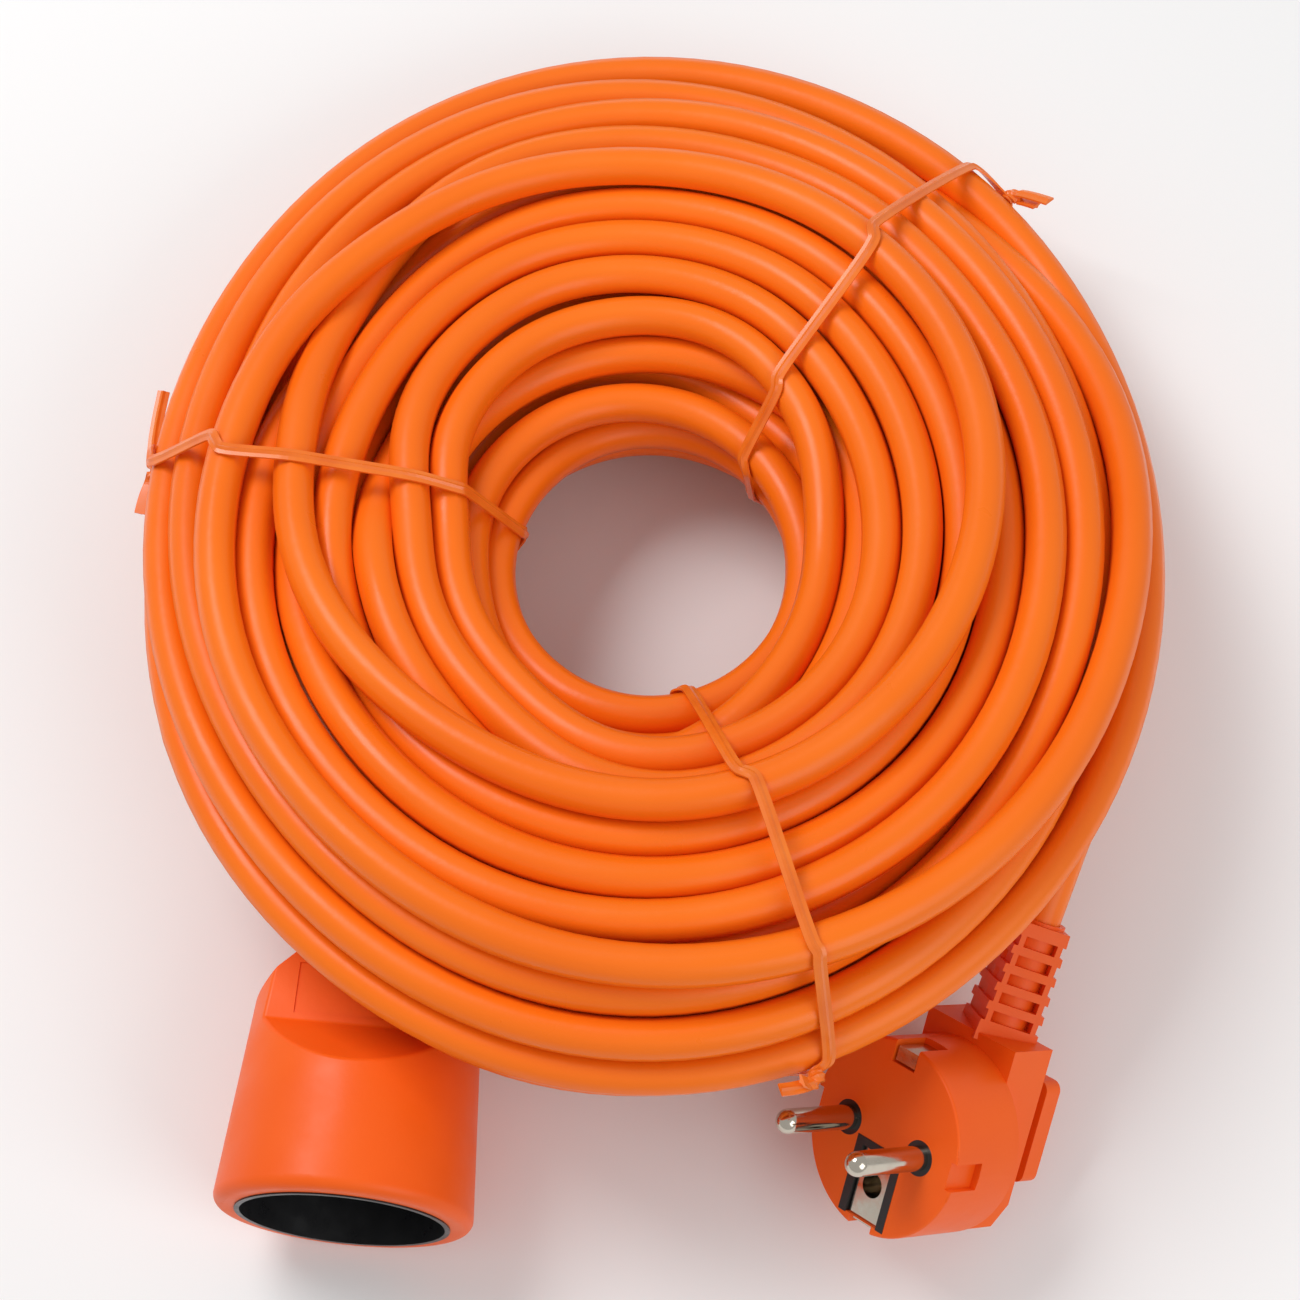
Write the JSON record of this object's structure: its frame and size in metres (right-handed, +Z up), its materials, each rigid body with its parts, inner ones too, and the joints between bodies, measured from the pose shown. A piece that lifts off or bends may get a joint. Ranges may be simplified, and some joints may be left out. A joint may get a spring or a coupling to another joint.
{
  "type": "extension lead, coiled",
  "caption": "Extension lead wound into a tied ring, with an angled plug and a round earth-pin socket.",
  "frame": {"origin": "the floor point under the middle of the bounding box of the coiled lead", "axes": "+Z up, -Y towards the socket and the plug, which lie under the coil's near side, +X towards the plug"},
  "size_m": [0.2013, 0.2514, 0.0761],
  "materials": {
    "cord_pvc": "satin soft PVC",
    "moulded_pvc": "satin moulded PVC",
    "black_nylon": "satin",
    "grey_nylon": "satin",
    "tie_plastic": "gloss",
    "tie_wire_steel": "drawn wire",
    "core_brown": "smooth",
    "core_blue": "smooth",
    "core_green_yellow": "green with a yellow stripe",
    "copper": "bare stranded copper",
    "contact_brass": "stamped",
    "spring_steel": "drawn wire",
    "nickel_plate": "bright nickel plate"
  },
  "bodies": {
    "lead": {"cord_coil": "cord_pvc", "cord_plug_end": "cord_pvc", "cord_socket_end": "cord_pvc", "plug_body": "moulded_pvc", "plug_carrier": "black_nylon", "plug_core_earth_copper": "copper", "plug_core_earth_insulation": "core_green_yellow", "plug_core_line_copper": "copper", "plug_core_line_insulation": "core_brown", "plug_core_neutral_copper": "copper", "plug_core_neutral_insulation": "core_blue", "plug_earth_band": "nickel_plate", "plug_earth_sleeve": "nickel_plate", "plug_pin_line": "nickel_plate", "plug_pin_neutral": "nickel_plate", "socket_body": "moulded_pvc", "socket_contact_holder": "grey_nylon", "socket_contact_line": "contact_brass", "socket_contact_neutral": "contact_brass", "socket_core_earth_copper": "copper", "socket_core_earth_insulation": "core_green_yellow", "socket_core_line_copper": "copper", "socket_core_line_insulation": "core_brown", "socket_core_neutral_copper": "copper", "socket_core_neutral_insulation": "core_blue", "socket_earth_pin": "nickel_plate", "socket_insert": "black_nylon", "socket_shutter_spring": "spring_steel", "tie_front": "tie_plastic", "tie_front_wire": "tie_wire_steel", "tie_left": "tie_plastic", "tie_left_wire": "tie_wire_steel", "tie_right": "tie_plastic", "tie_right_wire": "tie_wire_steel"},
    "shutter": {"socket_shutter": "grey_nylon"}
  },
  "joints": [
    {"name": "shutter_slide", "type": "slide", "parent": "lead", "child": "shutter", "axis": [-0.0068, -0.0745, -0.9972], "range_m": [0, 0.0062], "stiffness_N_per_m": 120, "springref_m": -0.002, "deforming": ["socket_shutter_spring"]}
  ]
}
